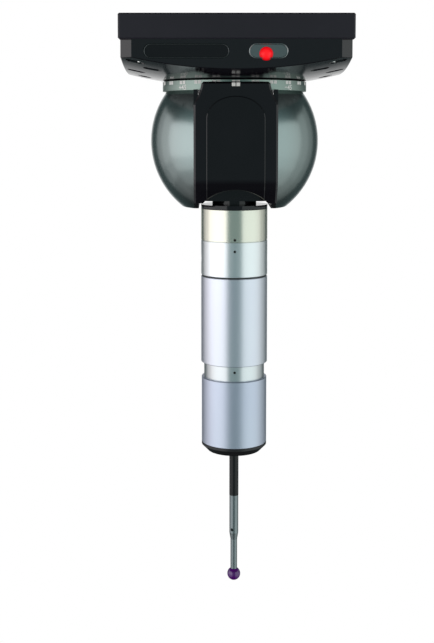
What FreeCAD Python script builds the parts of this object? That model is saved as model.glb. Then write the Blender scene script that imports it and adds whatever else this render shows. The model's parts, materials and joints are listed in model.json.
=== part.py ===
"""Motorised indexing probe head with a scanning probe, for a coordinate measuring machine.

The head bolts under the machine's quill.  A yoke turns about the vertical axis (B) below a fixed
housing, an arm tilts in the yoke about a horizontal axis (A), and the arm carries a slim scanning
probe whose spring-borne stylus ends in a ruby ball.

Everything is modelled about the point where the two head axes cross: X along the tilt axis, the
arm tilts towards +Y, Z up.  write() then lowers it all, so that the part's origin is the centre of
the mounting face and the head hangs below it.  Sizes are millimetres.
"""
import FreeCAD, Part
import math
import os

V = FreeCAD.Vector
X_AXIS = V(1, 0, 0)
Y_AXIS = V(0, 1, 0)
Z_AXIS = V(0, 0, 1)

# ---------------------------------------------------------------- driving dimensions
# Fixed top
axis_drop = 43.5            # mounting face down to the tilt axis
plate_width = 80.0
plate_thickness = 8.7
plate_edge = 0.6            # small bevel round the plate
mount_spacing = 58.0        # bolt holes of the mounting pattern, centre to centre
mount_hole_radius = 2.25
head_recess_radius = 4.2    # counterbore for the quill bolts, reached from below
head_recess_depth = 4.4
housing_width = 79.0
housing_corner = 4.0        # upright corner bevels of the housing
housing_wall = 2.5
dome_radius = 166.5         # shallow bowl of the underside, which clears a probe tilted right up
dome_low = 20.0             # lowest point of that bowl above the tilt axis

# Vertical (B) axis
spindle_radius = 14.0
spindle_bore = 8.0
spindle_top = 33.2
race_wall = 1.5
race_gap = 3.0              # room between the races, filled by the balls
race_height = 5.0
race_low = 22.5
boss_wall = 2.8
turntable_radius = 25.2
turntable_low = 18.3
turntable_top = 20.0
ring_radius = 26.7
ring_top = 21.75
b_gear_teeth = 60
b_pinion_teeth = 15
b_module = 0.6
b_gear_low = 28.7
b_gear_thick = 2.6
b_motor_radius = 6.0
b_motor_length = 8.4
b_motor_turn = 140.0        # where the pinion stands round the spindle, degrees
board_width = 46.0          # driver board
board_depth = 14.5
board_thick = 1.2
board_drop = 1.8            # plate down to the board

# Yoke
ball_radius = 31.2          # the two cheeks together make this sphere
cheek_wall = 2.0
ball_flat = 6.7             # cut off the underside of the cheeks
cheek_low = ball_flat - ball_radius
cheek_round = 1.2           # round between the sphere and that flat
fork_gap = 13.2             # half the clear width between the fork walls
fork_wall = 1.6
fork_radius = 27.2
spine_front = -28.2
spine_wall = 1.3
spine_back = -19.5
spine_low = -22.0
spine_bend = -15.0          # below this the spine leans in
spine_neck = 12.0           # half width at the top, beside the scale ring
spine_top = 21.0
spine_flare_low = 13.6
panel_half = 10.3           # the arched panel on the spine
panel_top = 16.0
panel_lift = 0.5
spine_bevel = 0.7

# Tilt (A) axis
axle_radius = 3.0
running_gap = 0.05
bush_wall = 2.0
bush_length = 2.4
tilt_limit = 105.0
a_gear_teeth = 52
a_pinion_teeth = 14
a_module = ball_radius / 62.4   # the tilt gears fill the ball
a_gear_thick = 2.5
a_motor_radius = 5.0
a_motor_angle = 151.0       # from +Y round to the motor, seen along +X, degrees
arm_half_width = 12.9
arm_low = -22.0

# Probe
probe_radius = 12.5
probe_wall = 1.5
joint_neck_radius = 8.3
flange_top = -23.7
adapter_top = -25.15
collar_top = -37.1
collar_low = -50.2
seal_thick = 0.5
seal_inset = 0.3
body_low = -83.5
module_top = -89.2
neck_radius = 11.4
module_radius = 12.3
module_low = -114.4
cap_low = -117.6
cap_mouth_radius = 7.5
cap_bevel = 2.3
key_hole_radius = 1.65      # key access to the lock screw, both sides of the collar
key_hole_z = -44.0

# Stylus
pivot_z = -98.0
gimbal_outer = 8.4
gimbal_width = 1.6
gimbal_thick = 1.2
gimbal_gap = 0.5
hub_radius = 5.0
plunger_radius = 2.2
holder_radius = 1.75
hub_disc_radius = 4.8
hub_disc_low = -119.2
holder_low = -135.8
stem_upper_radius = 1.7
stem_taper_top = -150.6
stem_taper_low = -153.2
stem_lower_radius = 1.27
tommy_hole_radius = 0.6
tommy_hole_z = -149.2
ball_tip_radius = 2.5
ball_tip_z = -166.9

slide_gap = 0.3             # room left between parts that move past each other
rim_bevel = 0.2             # broken edge of the turned sleeves
edge_round = 0.4            # broken edge of the castings and covers

# ---------------------------------------------------------------- worked out from them
plate_low = axis_drop - plate_thickness
dome_centre = V(0, 0, dome_low + dome_radius)
outer_race_inner = spindle_radius + race_wall + race_gap
outer_race_outer = outer_race_inner + race_wall
race_top = race_low + race_height
b_gear_distance = b_module * (b_gear_teeth + b_pinion_teeth) / 2
a_gear_distance = a_module * (a_gear_teeth + a_pinion_teeth) / 2
arm_hub_radius = a_gear_distance - a_motor_radius - 0.5
spine_half = fork_gap + fork_wall
bush_outer = axle_radius + running_gap + bush_wall
a_gear_x = fork_gap + bush_length + slide_gap


# ---------------------------------------------------------------- plain shapes
def cyl(radius, low, high, at=(0, 0)):
    """Upright cylinder."""
    return Part.makeCylinder(radius, high - low, V(at[0], at[1], low))


def tube(outer, inner, low, high, at=(0, 0)):
    return cyl(outer, low, high, at).cut(cyl(inner, low, high, at))


def bar(radius, left, right, y=0.0, z=0.0):
    """Cylinder along X."""
    return Part.makeCylinder(radius, right - left, V(left, y, z), X_AXIS)


def block(x0, x1, y0, y1, z0, z1):
    return Part.makeBox(x1 - x0, y1 - y0, z1 - z0, V(x0, y0, z0))


def turned(points):
    """Solid of revolution about Z from (radius, height) points."""
    outline = Part.makePolygon([V(r, 0, z) for r, z in points + points[:1]])
    return Part.Face(outline).revolve(V(0, 0, 0), Z_AXIS, 360)


def pill(width, height, front, back, x, z):
    """Slot-shaped block facing -Y."""
    r = height / 2
    reach = width / 2 - r
    left = Part.makeCylinder(r, back - front, V(x - reach, front, z), Y_AXIS)
    right = Part.makeCylinder(r, back - front, V(x + reach, front, z), Y_AXIS)
    return left.fuse([right, block(x - reach, x + reach, front, back, z - r, z + r)]).removeSplitter()


def square_prism(width, corner, low, high):
    """Upright square prism with bevelled corners."""
    h = width / 2
    c = corner
    points = [(-h + c, -h), (h - c, -h), (h, -h + c), (h, h - c),
              (h - c, h), (-h + c, h), (-h, h - c), (-h, -h + c)]
    outline = Part.makePolygon([V(x, y, low) for x, y in points + points[:1]])
    return Part.Face(outline).extrude(V(0, 0, high - low))


def four_corners(spacing):
    h = spacing / 2
    return [(sx * h, sy * h) for sx in (-1, 1) for sy in (-1, 1)]


def spun(shape, angle, axis=Z_AXIS, about=V(0, 0, 0)):
    copy = shape.copy()
    copy.rotate(about, axis, angle)
    return copy


def spur_gear(teeth, module, thick, bore, backlash=0.12):
    """Spur gear standing on Z = 0, one tooth centred on +X, flanks through three involute points."""
    pitch = module * teeth / 2
    base = pitch * math.cos(math.radians(20))
    root = pitch - 1.25 * module
    tip = pitch + 0.9 * module
    half = (math.pi / 2 - backlash) / teeth

    def flank(radius):
        if radius <= base:
            return half + involute(pitch)
        return half + involute(pitch) - involute(radius)

    def involute(radius):
        roll = math.sqrt(max((radius / base) ** 2 - 1, 0))
        return roll - math.atan(roll)

    points = []
    for n in range(teeth):
        middle = 2 * math.pi * n / teeth
        for radius, side in [(root, -1), (pitch, -1), (tip, -1), (tip, 1), (pitch, 1), (root, 1)]:
            angle = middle + side * flank(radius)
            points.append(V(radius * math.cos(angle), radius * math.sin(angle), 0))
    body = Part.Face(Part.makePolygon(points + points[:1])).extrude(V(0, 0, thick))
    return body.cut(cyl(bore, 0, thick)) if bore else body


def meshing_turn(own_teeth, bearing):
    """Turn that puts a tooth gap of the pinion on the line back to a gear with a tooth at angle 0."""
    return bearing + 180.0 + 180.0 / own_teeth


def bevel_rims(shape, radius, size):
    """Small bevel on every full circular edge of that radius about the probe's axis."""
    rims = [e for e in shape.Edges if isinstance(e.Curve, Part.Circle)
            and abs(e.Curve.Radius - radius) < 1e-6 and abs(e.Curve.Center.x) < 1e-6
            and abs(e.Curve.Center.y) < 1e-6 and abs(e.Curve.Axis.z) > 0.999 and e.isClosed()]
    return shape.makeChamfer(size, rims)


def write(name, shape):
    """One STEP per piece, lowered so that the mounting face is at Z = 0."""
    placed = shape.copy()
    placed.translate(V(0, 0, -axis_drop))
    placed.exportStep(f"parts/{name}.step")


# ---------------------------------------------------------------- fixed top
slot_edge = housing_width / 2
adjust_slots = [(mount_spacing / 2, mount_spacing / 2), (slot_edge - 5.0, slot_edge - 4.5),
                (slot_edge - 4.3, slot_edge - 19.5)]   # under each corner, mirrored four ways
slot_length = 6.4
slot_width = 2.8
slot_depth = 3.4
dome_sphere = Part.makeSphere(dome_radius, dome_centre)
b_motor_at = (b_gear_distance * math.cos(math.radians(b_motor_turn)),
              b_gear_distance * math.sin(math.radians(b_motor_turn)))
b_motor_low = b_gear_low + b_gear_thick + slide_gap
post_at = [(sx * (housing_width / 2 - 6.5), sy * 9.0) for sx in (-1, 1) for sy in (-1, 1)]
post_radius = 3.2
screw_radius = 1.25
screw_head_radius = 2.3
screw_head_depth = 1.5
screw_bite = 4.5
connector_radius = 10.0
connector_floor = 34.0
connector_base = 2.0
led_x = 10.0
led_z = 29.9
led_radius = 2.35
led_stand_out = 1.1
badge_x = -16.9
badge_width = 29.2
led_pill_x = 10.8
led_pill_width = 13.3
pill_height = 5.1
pill_z = 30.8
pill_depth = 0.8
housing_front = -housing_width / 2


def dome_height(x, y):
    """Height of the bowl's surface over a point of the plan."""
    return dome_low + dome_radius - math.sqrt(dome_radius ** 2 - x * x - y * y)


def mounting_plate():
    plate = square_prism(plate_width, plate_edge, plate_low, axis_drop)
    flat_edges = [e for e in plate.Edges if e.BoundBox.ZLength < 1e-6]
    plate = plate.makeChamfer(edge_round, flat_edges)
    for x, y in four_corners(mount_spacing):
        plate = plate.cut(cyl(mount_hole_radius, plate_low, axis_drop, (x, y)))
        plate = plate.cut(cyl(head_recess_radius, plate_low, plate_low + head_recess_depth, (x, y)))
    for at in post_at:
        plate = plate.cut(cyl(screw_radius, plate_low, plate_low + screw_bite, at))
    plate = plate.cut(cyl(connector_radius, plate_low, axis_drop))
    motor_room = cyl(b_motor_radius, plate_low, b_motor_low + b_motor_length, b_motor_at)
    return plate.cut(motor_room)


def corner_slots():
    """Pockets for the bolt and levelling keys, cut up into the bowl under each corner."""
    pockets = []
    for x, y in adjust_slots:
        for sx in (-1, 1):
            for sy in (-1, 1):
                low = dome_height(x, y) - 3
                reach = (slot_length - slot_width) / 2
                ends = [cyl(slot_width / 2, low, low + 3 + slot_depth, (sx * x + e, sy * y))
                        for e in (-reach, reach)]
                middle = block(sx * x - reach, sx * x + reach, sy * y - slot_width / 2,
                               sy * y + slot_width / 2, low, low + 3 + slot_depth)
                pockets.append(ends[0].fuse([ends[1], middle]).removeSplitter())
    return pockets


def upper_housing():
    outer = square_prism(housing_width, housing_corner, dome_low - 1, plate_low).common(dome_sphere)
    walls_end = [e for e in outer.Edges if e.BoundBox.ZMax < plate_low - 1]
    outer = outer.makeFillet(edge_round, walls_end)
    inner_sphere = Part.makeSphere(dome_radius - housing_wall, dome_centre)
    inner = square_prism(housing_width - 2 * housing_wall, housing_corner, dome_low - 1, plate_low)
    shell = outer.cut(inner.common(inner_sphere))
    boss = cyl(outer_race_outer + boss_wall, dome_low - 1, race_top).common(dome_sphere)
    posts = [cyl(post_radius, dome_low - 1, plate_low, at).common(dome_sphere) for at in post_at]
    shell = shell.fuse([boss] + posts)
    shell = shell.cut(cyl(outer_race_outer, race_low, race_top))
    shell = shell.cut(cyl(outer_race_outer - 1.0, dome_low - 1, race_low))
    for x, y in post_at:
        head_top = dome_height(x, y) + screw_head_depth + 0.4
        shell = shell.cut(cyl(screw_radius, dome_low, plate_low, (x, y)))
        shell = shell.cut(cyl(screw_head_radius + 0.15, dome_low, head_top, (x, y)))
    shell = shell.cut(corner_slots())
    for x, width in [(badge_x, badge_width), (led_pill_x, led_pill_width)]:
        shell = shell.cut(pill(width, pill_height, housing_front, housing_front + pill_depth, x, pill_z))
    led_hole = Part.makeCylinder(led_radius, housing_wall, V(led_x, housing_front, led_z), Y_AXIS)
    return shell.cut(led_hole)


def housing_screws():
    """Four socket screws that hold the housing up against the plate."""
    screws = []
    for x, y in post_at:
        head_top = dome_height(x, y) + screw_head_depth + 0.4
        head = cyl(screw_head_radius, head_top - screw_head_depth, head_top, (x, y))
        shank = cyl(screw_radius, head_top, plate_low + screw_bite - 0.3, (x, y))
        socket = cyl(1.1, head_top - screw_head_depth, head_top - 0.6, (x, y))
        screws.append(head.fuse(shank).removeSplitter().cut(socket))
    return Part.makeCompound(screws)


def badge_plate():
    """Bare pill-shaped plate set in the front recess."""
    gap = 0.15
    front = housing_front + 0.35
    return pill(badge_width - 2 * gap, pill_height - 2 * gap, front, housing_front + pill_depth,
                badge_x, pill_z)


def led_bezel():
    """Bright pill-shaped cup round the lamp."""
    plate = pill(led_pill_width, pill_height, housing_front, housing_front + pill_depth,
                 led_pill_x, pill_z)
    dish = pill(led_pill_width - 1.0, pill_height - 1.0, housing_front,
                housing_front + pill_depth - 0.25, led_pill_x, pill_z)
    lamp = Part.makeCylinder(led_radius, pill_depth, V(led_x, housing_front, led_z), Y_AXIS)
    return plate.cut([dish, lamp])


def status_led():
    """Red lamp with a domed front, which stands a little out of its bezel."""
    front = housing_front - led_stand_out
    body = Part.makeCylinder(led_radius, 6.0, V(led_x, front + led_radius * 0.6, led_z), Y_AXIS)
    dome = Part.makeSphere(led_radius, V(led_x, front + led_radius, led_z))
    nose = dome.common(block(led_x - 3, led_x + 3, front - 1, front + led_radius, led_z - 3, led_z + 3))
    return body.cut(block(led_x - 3, led_x + 3, front - 1, front + led_radius,
                          led_z - 3, led_z + 3)).fuse(nose).removeSplitter()


def control_board():
    """Driver board that hangs under the plate, with its chips."""
    board_low = plate_low - board_drop
    front = housing_front + housing_wall + 0.5
    board = block(-board_width / 2, board_width / 2, front, front + board_depth,
                  board_low, board_low + board_thick)
    chips = [block(x, x + 6.0, front + 4.0, front + 10.0, board_low - 1.0, board_low)
             for x in (-19.0, -8.0, 13.0)]
    spacers = [cyl(1.8, board_low + board_thick, plate_low, (x, y))
               for x in (2.5 - board_width / 2, board_width / 2 - 2.5)
               for y in (front + 2.5, front + board_depth - 2.5)]
    return board.fuse(chips + spacers).removeSplitter()


def connector_shell():
    """Round socket in the middle of the mounting face, for the machine's cable."""
    cup = cyl(connector_radius, connector_floor, axis_drop - 0.4)
    room = cyl(connector_radius - 1.2, connector_floor + connector_base, axis_drop)
    pin_holes = [cyl(0.45, connector_floor, connector_floor + connector_base, at) for at in pin_places()]
    return cup.cut([room] + pin_holes)


def pin_places():
    outer = [(6.2 * math.cos(math.tau * n / 10), 6.2 * math.sin(math.tau * n / 10)) for n in range(10)]
    inner = [(2.6 * math.cos(math.tau * n / 4), 2.6 * math.sin(math.tau * n / 4)) for n in range(4)]
    return outer + inner


def connector_pins():
    return Part.makeCompound([cyl(0.45, connector_floor, connector_floor + 4.5, at)
                              for at in pin_places()])


def slip_ring():
    """Carries the wires from the socket down the turning spindle."""
    body = cyl(5.5, race_low, connector_floor)
    bands = [tube(5.5, 5.1, z, z + 0.7) for z in (24.0, 26.0, 28.0, 30.0)]
    return body.cut(bands)


def b_bearing_outer():
    return tube(outer_race_outer, outer_race_inner, race_low, race_top)


def b_bearing_balls():
    count = 12
    ball_radius_fit = race_gap / 2 - 0.08
    at = spindle_radius + race_wall + race_gap / 2
    middle = race_low + race_height / 2
    return Part.makeCompound([Part.makeSphere(ball_radius_fit, V(
        at * math.cos(math.tau * n / count), at * math.sin(math.tau * n / count), middle))
        for n in range(count)])


def b_motor():
    can = cyl(b_motor_radius, b_motor_low, b_motor_low + b_motor_length, b_motor_at)
    bore = cyl(1.0 + running_gap, b_motor_low, b_motor_low + 5.0, b_motor_at)
    return can.cut(bore)


def b_pinion():
    gear = spur_gear(b_pinion_teeth, b_module, b_gear_thick, 0)
    gear.rotate(V(0, 0, 0), Z_AXIS, meshing_turn(b_pinion_teeth, b_motor_turn)
                + phase_for(b_gear_teeth, b_pinion_teeth, b_motor_turn))
    gear.translate(V(b_motor_at[0], b_motor_at[1], b_gear_low))
    shaft = cyl(1.0, b_gear_low + b_gear_thick, b_motor_low + 4.7, b_motor_at)
    return gear.fuse(shaft).removeSplitter()


def phase_for(gear_teeth, pinion_teeth, bearing):
    """Extra turn of a pinion where the line to it doesn't pass through one of the gear's teeth."""
    step = 360.0 / gear_teeth
    off = bearing - step * round(bearing / step)
    return off * gear_teeth / pinion_teeth


# ---------------------------------------------------------------- yoke, which turns about B
def probe_relief():
    """Space swept by the probe at the top of its tilt, cut out of whatever turns with it."""
    tilt = math.radians(tilt_limit)
    along = V(0, math.sin(tilt), -math.cos(tilt))
    start = 12.0
    return Part.makeCylinder(fork_gap, 60.0, along * start, along)


def turntable():
    """Flanged spindle that hangs in the bearing and carries the fork."""
    body = turned([(spindle_bore, turntable_low), (turntable_radius, turntable_low),
                   (turntable_radius, turntable_top), (17.5, turntable_top), (17.5, 21.6),
                   (spindle_radius + 1.3, 21.6), (spindle_radius + 1.3, race_low),
                   (spindle_radius, race_low), (spindle_radius, spindle_top), (spindle_bore, spindle_top)])
    return body.cut(probe_relief())


def b_bearing_inner():
    return tube(spindle_radius + race_wall, spindle_radius, race_low, race_top)


def b_gear():
    gear = spur_gear(b_gear_teeth, b_module, b_gear_thick, spindle_radius)
    gear.translate(V(0, 0, b_gear_low))
    return gear


def spindle_nut():
    """Slotted nut on top of the gear, and the sleeve it clamps between race and gear."""
    low = b_gear_low + b_gear_thick
    sleeve = tube(spindle_radius + 1.3, spindle_radius, race_top, b_gear_low)
    nut = tube(15.8, spindle_radius, low, low + 1.6)
    notches = [spun(block(14.9, 16.4, -1.0, 1.0, low, low + 1.6), 60 * n) for n in range(6)]
    return Part.makeCompound([nut.cut(notches), sleeve])


def scale_ring():
    """Graduated band round the turntable, open at the back where the probe swings up."""
    band = tube(ring_radius, turntable_radius, turntable_low, ring_top)
    return band.cut(block(-fork_gap - 0.4, fork_gap + 0.4, 0, ring_radius, turntable_low, ring_top))


def fork_walls():
    """Two side walls of the yoke that carry the tilt bushes."""
    walls = []
    for side in (-1, 1):
        inner, outer = sorted((side * fork_gap, side * spine_half))
        disc = bar(fork_radius, inner, outer)
        wall = disc.common(block(inner, outer, spine_back, fork_radius, cheek_low, turntable_low))
        boss_a, boss_b = sorted((side * spine_half, side * (fork_gap + bush_length)))
        wall = wall.fuse(bar(bush_outer + 1.0, boss_a, boss_b))
        wall = wall.cut(bar(bush_outer, min(inner, boss_a), max(outer, boss_b)))
        for y, z in cheek_screw_at:
            wall = wall.cut(bar(1.0, inner, outer, y, z))
            wall = wall.cut(countersink(side, y, z))
        if side == 1:
            wall = wall.cut(bar(1.6, inner, outer, a_motor_at[0], a_motor_at[1]))
        walls.append(wall.removeSplitter())
    return Part.makeCompound(walls)


a_motor_at = (a_gear_distance * math.cos(math.radians(a_motor_angle)),
              a_gear_distance * math.sin(math.radians(a_motor_angle)))
cheek_screw_at = [(19.5, -9.1), (16.2, 12.4), (-15.6, -12.6)]
tie_at = (-16.8, -4.0)
tie_radius = 2.2


def countersink(side, y, z):
    """Cone of a flat screw head, flush with the inner face of a fork wall."""
    return Part.makeCone(2.0, 1.0, 1.0, V(side * fork_gap, y, z), V(side, 0, 0))


def cheek_screws():
    screws = []
    for side in (-1, 1):
        for y, z in cheek_screw_at:
            start, end = sorted((side * (fork_gap + 1.0), side * (spine_half + 4.5)))
            slot = block(side * fork_gap - 0.4, side * fork_gap + 0.4, y - 2.0, y + 2.0, z - 0.25, z + 0.25)
            screws.append(countersink(side, y, z).fuse(bar(1.0, start, end, y, z)).cut(slot))
    return Part.makeCompound(screws)


def cheek(side):
    """Hollow cap of a sphere that closes one side of the yoke, with its screw bosses."""
    ball = Part.makeSphere(ball_radius)
    inner_ball = Part.makeSphere(ball_radius - cheek_wall)
    x0, x1 = sorted((side * spine_half, side * ball_radius))
    slab = block(x0, x1, -ball_radius, ball_radius, cheek_low, turntable_low)
    room = block(x0, x1, -ball_radius, ball_radius, cheek_low + cheek_wall, turntable_low - cheek_wall)
    outer = ball.common(slab)
    bottom = [e for e in outer.Edges if abs(e.BoundBox.ZMax - cheek_low) < 1e-6
              and e.BoundBox.YLength > 1 and e.BoundBox.XLength > 1]
    outer = outer.makeFillet(cheek_round, bottom)
    shell = outer.cut(inner_ball.common(room))
    boss_end = side * (spine_half + 12.0)
    b0, b1 = sorted((side * spine_half, boss_end))
    bosses = [bar(2.6, b0, b1, y, z).common(outer) for y, z in cheek_screw_at]
    shell = shell.fuse(bosses)
    for y, z in cheek_screw_at:
        s0, s1 = sorted((side * spine_half, side * (spine_half + 4.5)))
        shell = shell.cut(bar(1.0, s0, s1, y, z))
    return shell.removeSplitter()


def spine_side(lift):
    """Side profile of the spine, swept across its width and raised by lift."""
    front = spine_front - lift
    low = spine_low
    lean = 6.7
    points = [(front, spine_top), (front, spine_bend), (front + lean, low),
              (spine_back, low), (spine_back, spine_top)]
    outline = Part.makePolygon([V(-spine_half, y, z) for y, z in points + points[:1]])
    body = Part.Face(outline).extrude(V(2 * spine_half, 0, 0))
    bend = [e for e in body.Edges
            if all(abs(v.Y - front) < 1e-4 and abs(v.Z - spine_bend) < 1e-4 for v in e.Vertexes)]
    return body.makeFillet(9.0, bend)


def spine_cover():
    """Front casting of the yoke: a hollow channel that flares out from a narrow neck."""
    body = spine_side(0)
    room = spine_side(-spine_wall).common(
        block(-fork_gap, fork_gap, spine_front, spine_back, spine_low, turntable_low))
    body = body.cut(room)
    above = block(-spine_half, spine_half, spine_front + spine_wall, spine_back + 1, turntable_low, spine_top)
    body = body.cut(above)
    for side in (-1, 1):
        shoulder = [V(side * spine_half, spine_front, spine_flare_low),
                    V(side * (spine_neck + 0.7), spine_front, 17.6),
                    V(side * spine_neck, spine_front, spine_top)]
        corner = V(side * (spine_half + 1), spine_front, spine_top)
        corner_low = V(side * (spine_half + 1), spine_front, spine_flare_low)
        edges = [Part.Arc(*shoulder).toShape(), Part.makeLine(shoulder[2], corner),
                 Part.makeLine(corner, corner_low), Part.makeLine(corner_low, shoulder[0])]
        flare = Part.Face(Part.Wire(edges)).extrude(V(0, spine_wall, 0))
        body = body.cut(flare)
    mouth = Part.makeCylinder(16.0, 12.0, V(0, spine_front, -33.0), Y_AXIS)
    body = body.cut(mouth)
    rim = [e for e in body.Edges
           if abs(e.BoundBox.YMin - spine_front) < 1e-3
           and (e.BoundBox.XLength < 1e-3 or isinstance(e.Curve, Part.Circle)
                or abs(e.BoundBox.ZMin - spine_top) < 1e-3)]
    return body.makeChamfer(spine_bevel, rim)


def spine_panel():
    """Arched cover plate on the front of the spine."""
    spring = 8.0
    arch = Part.Ellipse(V(0, 0, 0), panel_half, panel_top - spring)
    curve = arch.toShape(0, math.pi)
    curve.rotate(V(0, 0, 0), X_AXIS, 90)
    curve.translate(V(0, spine_front - 1, spring))
    left, right = V(-panel_half, spine_front - 1, spring), V(panel_half, spine_front - 1, spring)
    low_left, low_right = V(-panel_half, spine_front - 1, spine_low), V(panel_half, spine_front - 1, spine_low)
    edges = [curve, Part.makeLine(left, low_left), Part.makeLine(low_left, low_right),
             Part.makeLine(low_right, right)]
    outline = Part.Face(Part.Wire(Part.__sortEdges__(edges))).extrude(V(0, 9.0, 0))
    skin = spine_side(panel_lift).cut(spine_side(0))
    plate = skin.common(outline)
    mouth = Part.makeCylinder(16.0, 12.0, V(0, spine_front - 1, -33.0), Y_AXIS)
    plate = plate.cut(mouth)
    under = spine_side(0)
    rim = [e for e in plate.Edges
           if (e.BoundBox.XLength < 1e-3 or not isinstance(e.Curve, Part.Line))
           and under.distToShape(Part.Vertex(middle_of(e)))[0] > 0.6 * panel_lift]
    return plate.makeChamfer(panel_lift / 2, rim)


def middle_of(edge):
    return edge.valueAt((edge.FirstParameter + edge.LastParameter) / 2)


def fork_tie():
    return bar(tie_radius, -fork_gap, fork_gap, *tie_at)


def a_bushes():
    bushes = []
    for side in (-1, 1):
        a, b = sorted((side * fork_gap, side * (fork_gap + bush_length)))
        bushes.append(bar(bush_outer, a, b).cut(bar(axle_radius + running_gap, a, b)))
    return Part.makeCompound(bushes)


def a_motor():
    can = bar(a_motor_radius, -9.5, fork_gap, *a_motor_at)
    band = bar(a_motor_radius, -8.3, -7.3, *a_motor_at).cut(bar(a_motor_radius - 0.4, -8.3, -7.3, *a_motor_at))
    return can.cut([band, bar(1.0 + running_gap, fork_gap - 7.0, fork_gap, *a_motor_at)])


def a_pinion():
    gear = spur_gear(a_pinion_teeth, a_module, a_gear_thick, 0)
    gear.rotate(V(0, 0, 0), Z_AXIS, meshing_turn(a_pinion_teeth, a_motor_angle)
                + phase_for(a_gear_teeth, a_pinion_teeth, a_motor_angle))
    gear = lay_along_x(gear, a_gear_x)
    gear.translate(V(0, *a_motor_at))
    return gear.fuse(bar(1.0, fork_gap - 6.7, a_gear_x, *a_motor_at)).removeSplitter()


def lay_along_x(shape, start):
    """Stands a piece drawn about Z up along X, its +X side turned to +Y."""
    placed = shape.copy()
    placed.Placement = FreeCAD.Placement(
        V(start, 0, 0), FreeCAD.Rotation(V(0, 1, 0), V(0, 0, 1), V(1, 0, 0), "ZXY")).multiply(
        placed.Placement)
    return placed


# ---------------------------------------------------------------- arm, which tilts about A
arm_block_half = 11.5
arm_block_deep = 10.5
cover_screw_at = [(x, z) for x in (-7.5, 7.5) for z in (-18.5, -5.5)]
cover_thick = 0.8
pin_circle = 5.6
coupling_circle = 10.3
coupling_ball_radius = 1.3


def a_axle():
    """Tilt axle with a head on the left and a thread for the nut on the right."""
    left = -(fork_gap + bush_length + slide_gap)
    right = a_gear_x + a_gear_thick + 1.8
    head = bar(axle_radius + 1.2, left - 1.2, left)
    flat = block(left - 1.2, left, axle_radius + 0.4, axle_radius + 2, -5, 5)
    return head.fuse(bar(axle_radius, left, right)).removeSplitter().cut(flat)


def axle_nut():
    """Hexagon nut that clamps the tilt gear on the axle."""
    start = a_gear_x + a_gear_thick
    hexagon = Part.makePolygon([V(start, 4.6 * math.cos(math.tau * n / 6), 4.6 * math.sin(math.tau * n / 6))
                                for n in range(7)])
    nut = Part.Face(hexagon).extrude(V(1.8, 0, 0))
    return nut.cut(bar(axle_radius, start, start + 1.8))


def a_gear():
    gear = spur_gear(a_gear_teeth, a_module, a_gear_thick, axle_radius)
    windows = [cyl(2.2, 0, a_gear_thick, (7.4 * math.cos(math.tau * n / 5), 7.4 * math.sin(math.tau * n / 5)))
               for n in range(5)]
    return lay_along_x(gear.cut(windows), a_gear_x)


def arm_frame():
    """Arm casting: a round hub on the axle and a block down to the probe joint."""
    hub = bar(arm_hub_radius, -arm_half_width, arm_half_width)
    body = block(-arm_block_half, arm_block_half, -arm_block_deep, arm_block_deep, arm_low, 0)
    upright_edges = [e for e in body.Edges if e.BoundBox.XLength < 1e-6 and e.BoundBox.YLength < 1e-6]
    body = body.makeFillet(2.5, upright_edges)
    body = body.fuse(hub).removeSplitter()
    body = body.cut(bar(axle_radius, -arm_half_width, arm_half_width))
    well = block(-8.9, 8.9, arm_block_deep - 6.0, arm_block_deep, -19.9, -4.1)
    posts = [Part.makeCylinder(1.6, 6.0, V(x, arm_block_deep - 6.0, z), Y_AXIS) for x, z in cover_screw_at]
    body = body.cut(well).fuse(posts)
    for x, z in cover_screw_at:
        body = body.cut(Part.makeCylinder(0.8, 4.0, V(x, arm_block_deep - 4.0, z), Y_AXIS))
    return body.removeSplitter()


def arm_cover():
    """Plate over the wiring well on the back of the arm."""
    plate = block(-9.4, 9.4, arm_block_deep, arm_block_deep + cover_thick, -20.4, -11.05)
    upper = block(-9.4, 9.4, arm_block_deep, arm_block_deep + cover_thick, -11.05, -3.6)
    plate = plate.fuse(upper).removeSplitter()
    corners = [e for e in plate.Edges if e.BoundBox.XLength < 1e-6 and e.BoundBox.ZLength < 1e-6]
    plate = plate.makeFillet(1.5, corners)
    for x, z in cover_screw_at:
        plate = plate.cut(Part.makeCylinder(0.8, cover_thick, V(x, arm_block_deep, z), Y_AXIS))
    return plate.cut(bar(arm_hub_radius + 0.05, -arm_half_width, arm_half_width))


def arm_cover_screws():
    screws = []
    for x, z in cover_screw_at:
        face = arm_block_deep + cover_thick
        head = Part.makeCylinder(1.5, 0.8, V(x, face, z), Y_AXIS)
        shank = Part.makeCylinder(0.8, 4.6, V(x, face - 4.6, z), Y_AXIS)
        slot = block(x - 1.5, x + 1.5, face + 0.4, face + 0.8, z - 0.2, z + 0.2)
        screws.append(head.fuse(shank).removeSplitter().cut(slot))
    return Part.makeCompound(screws)


def arm_board():
    """Small signal board at the bottom of the arm's wiring well."""
    floor = arm_block_deep - 6.0
    board = block(-5.6, 5.6, floor, floor + 1.0, -17.5, -7.0)
    chip = block(-2.5, 2.5, floor + 1.0, floor + 2.0, -14.5, -10.0)
    return board.fuse(chip).removeSplitter()


def around(count, radius, turn=0.0):
    return [(radius * math.cos(math.radians(turn) + math.tau * n / count),
             radius * math.sin(math.radians(turn) + math.tau * n / count)) for n in range(count)]


def joint_flange():
    """Lower half of the quick coupling on the arm: neck, flange, ball seats and pin holes."""
    body = cyl(joint_neck_radius, flange_top, arm_low).fuse(cyl(probe_radius, adapter_top, flange_top))
    body = body.removeSplitter()
    seats = [Part.makeSphere(coupling_ball_radius, V(x, y, adapter_top))
             for x, y in around(3, coupling_circle, 90)]
    pins = [cyl(0.5, adapter_top, flange_top + 1.0, at) for at in around(10, pin_circle)]
    return body.cut(seats + pins + [cyl(hook_rod_radius, adapter_top, arm_low)])


hook_rod_radius = 2.2
hook_half = 4.6
hook_thick = 2.0


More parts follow.
